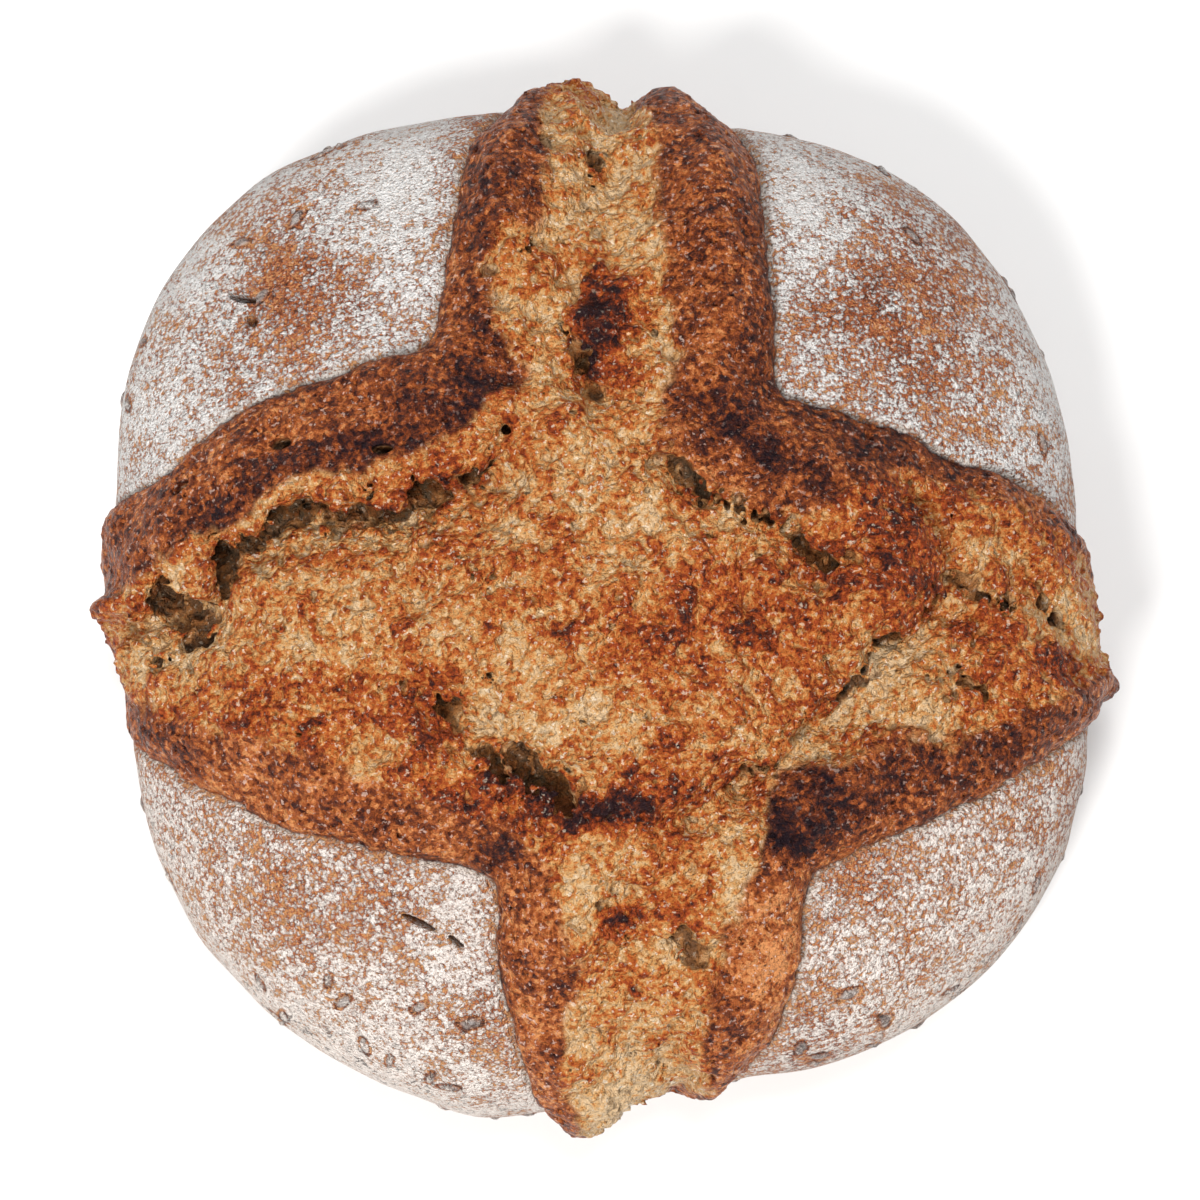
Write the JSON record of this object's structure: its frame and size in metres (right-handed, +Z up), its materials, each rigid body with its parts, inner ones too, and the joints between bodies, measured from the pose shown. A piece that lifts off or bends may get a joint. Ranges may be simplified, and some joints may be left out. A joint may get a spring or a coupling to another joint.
{
  "type": "sourdough loaf",
  "caption": "Round hearth-baked sourdough loaf with a floured crust, burst open along a cross cut, on a flat underside.",
  "frame": {"origin": "under the middle of the loaf's box, on the surface that it rests on", "axes": "+Z up through the crown, +X towards the east arm of the burst cross, +Y towards the north arm, which is the straightest one"},
  "size_m": [0.2476, 0.2614, 0.1053],
  "materials": {
    "crust": "matte"
  },
  "bodies": {
    "root": {"loaf": "crust"}
  },
  "joints": []
}
